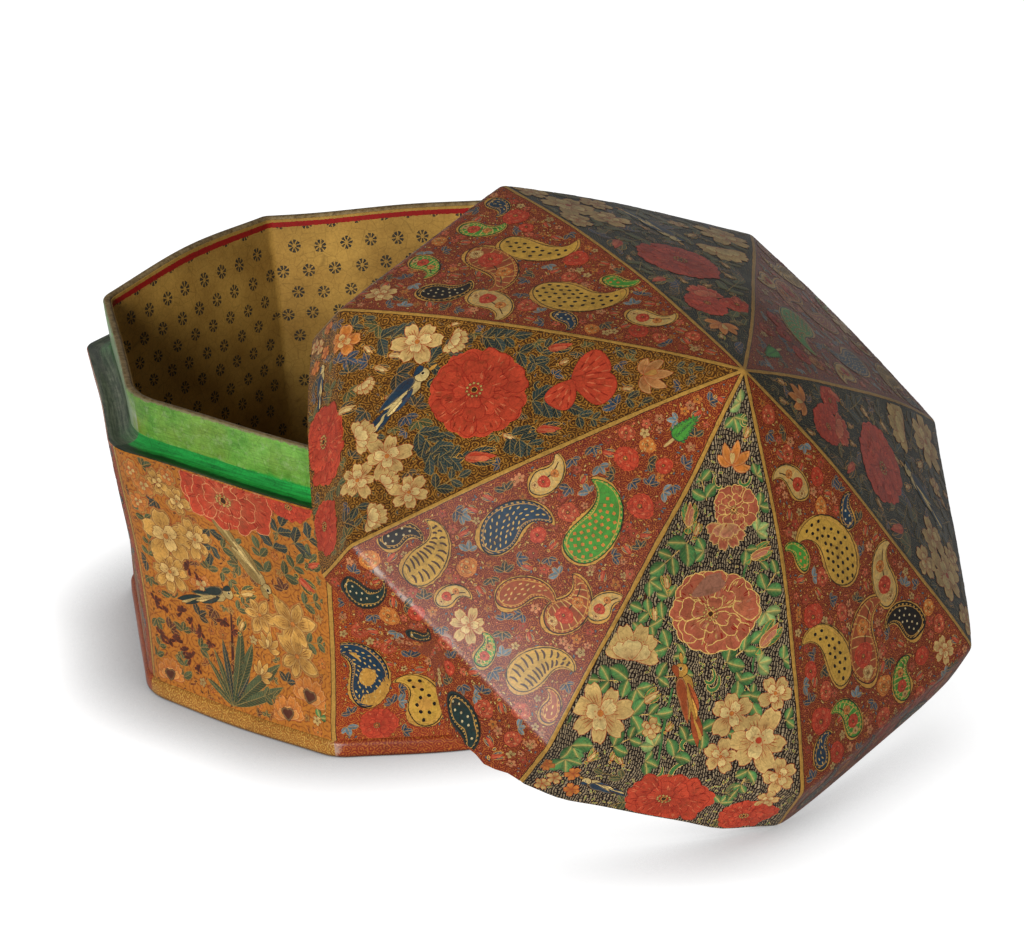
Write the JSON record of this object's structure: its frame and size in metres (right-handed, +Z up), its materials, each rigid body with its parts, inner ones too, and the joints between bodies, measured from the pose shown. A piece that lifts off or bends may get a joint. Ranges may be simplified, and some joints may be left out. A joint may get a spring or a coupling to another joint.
{
  "type": "papier mache box",
  "caption": "Octagonal papier mache box with a domed lid of painted gores, taken off and leaning on the green collar of the box.",
  "frame": {"origin": "centre of the box's underside, on the surface that it stands on", "axes": "+Z up the box's own axis; +X and +Y each point at the middle of a side of the octagon; the lid leans to -Y and +X"},
  "size_m": [0.3516, 0.3875, 0.2063],
  "materials": {
    "painted_body": "papier mache, hand painted with flowers and birds, varnished",
    "painted_lid": "papier mache, hand painted with flowers and birds, varnished",
    "foot_band": "papier mache, brown and gold, varnished",
    "green_collar": "pasteboard painted green, varnished",
    "printed_lining": "ochre paper printed with rows of small black rosettes, matt",
    "bare_board": "bare pasteboard"
  },
  "bodies": {
    "box": {"floor_board": "bare_board", "side_board_1": "painted_body", "side_board_2": "painted_body", "side_board_3": "painted_body", "side_board_4": "painted_body", "side_board_5": "painted_body", "side_board_6": "painted_body", "side_board_7": "painted_body", "side_board_8": "painted_body", "foot_strip_1": "foot_band", "foot_strip_2": "foot_band", "foot_strip_3": "foot_band", "foot_strip_4": "foot_band", "foot_strip_5": "foot_band", "foot_strip_6": "foot_band", "foot_strip_7": "foot_band", "foot_strip_8": "foot_band", "inner_board_1": "green_collar", "inner_board_2": "green_collar", "inner_board_3": "green_collar", "inner_board_4": "green_collar", "inner_board_5": "green_collar", "inner_board_6": "green_collar", "inner_board_7": "green_collar", "inner_board_8": "green_collar", "lining_sheet_1": "printed_lining", "lining_sheet_2": "printed_lining", "lining_sheet_3": "printed_lining", "lining_sheet_4": "printed_lining", "lining_sheet_5": "printed_lining", "lining_sheet_6": "printed_lining", "lining_sheet_7": "printed_lining", "lining_sheet_8": "printed_lining", "floor_lining": "printed_lining"},
    "lid": {"lid_gore_1": "painted_lid", "lid_gore_2": "painted_lid", "lid_gore_3": "painted_lid", "lid_gore_4": "painted_lid", "lid_gore_5": "painted_lid", "lid_gore_6": "painted_lid", "lid_gore_7": "painted_lid", "lid_gore_8": "painted_lid", "lid_lining_1": "printed_lining", "lid_lining_2": "printed_lining", "lid_lining_3": "printed_lining", "lid_lining_4": "printed_lining", "lid_lining_5": "printed_lining", "lid_lining_6": "printed_lining", "lid_lining_7": "printed_lining", "lid_lining_8": "printed_lining"}
  },
  "joints": [
    {"name": "lid_lift", "type": "slide", "parent": "box", "child": "lid", "axis": [0.338, -0.5408, 0.7702], "range_m": [0, 0.2]}
  ]
}
